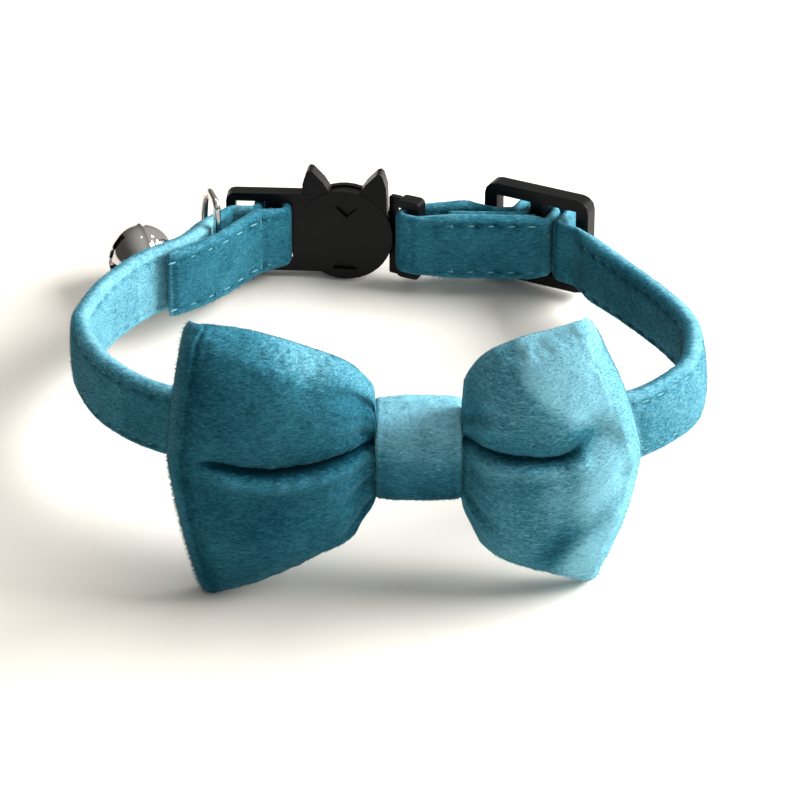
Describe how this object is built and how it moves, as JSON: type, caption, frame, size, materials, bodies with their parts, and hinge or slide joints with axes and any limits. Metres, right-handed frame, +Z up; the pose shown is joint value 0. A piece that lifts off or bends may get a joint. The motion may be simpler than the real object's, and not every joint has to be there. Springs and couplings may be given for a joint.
{
  "type": "pet bow tie collar",
  "caption": "Velvet pet collar fastened in a loop, with a padded bow tie and knot at the front, a breakaway buckle and slider at the back, and a bell on a metal ring.",
  "frame": {"origin": "middle of the bottom of the bounding box, on the ground that the bow's lower corners, the buckle's head, the metal ring and the bell rest near", "axes": "+X to the right along the bow's width, +Y from the bow to the buckle, +Z up; the loop lies tipped, with its front about 9 degrees higher than its back"},
  "size_m": [0.0948, 0.085, 0.0426],
  "materials": {
    "velvet": "teal velvet with a short pile",
    "black_plastic": "semi-gloss black moulded plastic",
    "bright_metal": "bright nickel plating"
  },
  "bodies": {
    "root": {"strap": "velvet", "bow": "velvet", "knot": "velvet", "buckle_socket": "black_plastic", "buckle_plug": "black_plastic", "slider": "black_plastic", "d_ring": "bright_metal", "jump_ring": "bright_metal", "bell": "bright_metal"}
  },
  "joints": []
}
